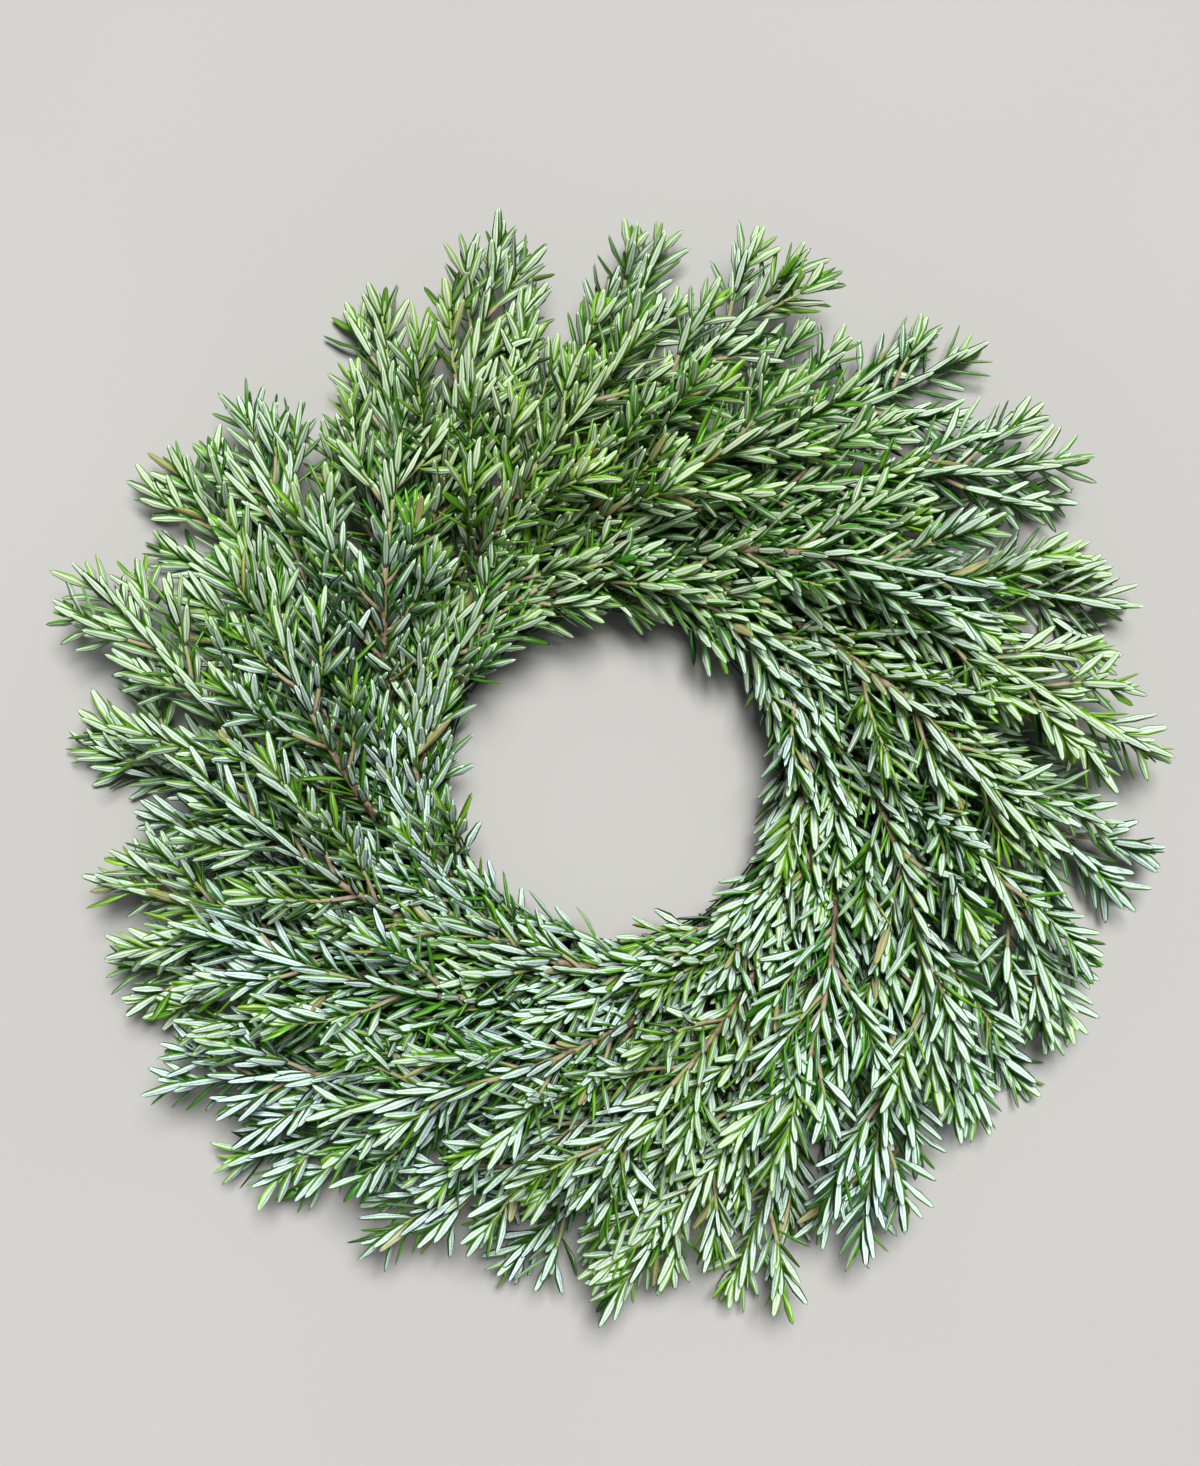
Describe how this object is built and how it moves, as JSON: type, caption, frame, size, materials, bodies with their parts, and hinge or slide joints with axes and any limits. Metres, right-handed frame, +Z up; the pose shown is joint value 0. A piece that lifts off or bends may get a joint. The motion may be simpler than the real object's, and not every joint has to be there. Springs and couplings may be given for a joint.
{
  "type": "rosemary wreath",
  "caption": "Round wreath of leafy rosemary sprigs laid clockwise and bound with wire to a hooped wire frame, with an open centre.",
  "frame": {"origin": "middle of the wreath's bounding box in plan, at the level of the surface that it lies on", "axes": "+Z up from the surface, +Y towards the top of the wreath as it is looked down on, +X to its right"},
  "size_m": [0.528, 0.525, 0.1004],
  "materials": {
    "silvery_rosemary": "matte",
    "sage_rosemary": "matte",
    "green_rosemary": "matte",
    "frame_wire": "satin",
    "binding_wire": "satin"
  },
  "bodies": {
    "root": {"inner_rim_hoop": "frame_wire", "outer_rim_hoop": "frame_wire", "inner_base_hoop": "frame_wire", "outer_base_hoop": "frame_wire", "cross_brace_1": "frame_wire", "cross_brace_2": "frame_wire", "cross_brace_3": "frame_wire", "cross_brace_4": "frame_wire", "cross_brace_5": "frame_wire", "cross_brace_6": "frame_wire", "binding_wire": "binding_wire", "top_sprig_01": "silvery_rosemary", "top_sprig_02": "sage_rosemary", "top_sprig_03": "green_rosemary", "top_sprig_04": "silvery_rosemary", "top_sprig_05": "sage_rosemary", "top_sprig_06": "green_rosemary", "top_sprig_07": "silvery_rosemary", "top_sprig_08": "sage_rosemary", "top_sprig_09": "green_rosemary", "top_sprig_10": "silvery_rosemary", "top_sprig_11": "sage_rosemary", "top_sprig_12": "green_rosemary", "middle_sprig_01": "silvery_rosemary", "middle_sprig_02": "sage_rosemary", "middle_sprig_03": "green_rosemary", "middle_sprig_04": "silvery_rosemary", "middle_sprig_05": "sage_rosemary", "middle_sprig_06": "green_rosemary", "middle_sprig_07": "silvery_rosemary", "middle_sprig_08": "sage_rosemary", "middle_sprig_09": "green_rosemary", "middle_sprig_10": "silvery_rosemary", "middle_sprig_11": "sage_rosemary", "middle_sprig_12": "green_rosemary", "outer_sprig_01": "silvery_rosemary", "outer_sprig_02": "sage_rosemary", "outer_sprig_03": "green_rosemary", "outer_sprig_04": "silvery_rosemary", "outer_sprig_05": "sage_rosemary", "outer_sprig_06": "green_rosemary", "outer_sprig_07": "silvery_rosemary", "outer_sprig_08": "sage_rosemary", "outer_sprig_09": "green_rosemary", "outer_sprig_10": "silvery_rosemary", "outer_sprig_11": "sage_rosemary", "outer_sprig_12": "green_rosemary", "inner_sprig_01": "silvery_rosemary", "inner_sprig_02": "sage_rosemary", "inner_sprig_03": "green_rosemary", "inner_sprig_04": "silvery_rosemary", "inner_sprig_05": "sage_rosemary", "inner_sprig_06": "green_rosemary", "inner_sprig_07": "silvery_rosemary", "inner_sprig_08": "sage_rosemary", "inner_sprig_09": "green_rosemary", "inner_sprig_10": "silvery_rosemary", "inner_sprig_11": "sage_rosemary", "inner_sprig_12": "green_rosemary"}
  },
  "joints": []
}
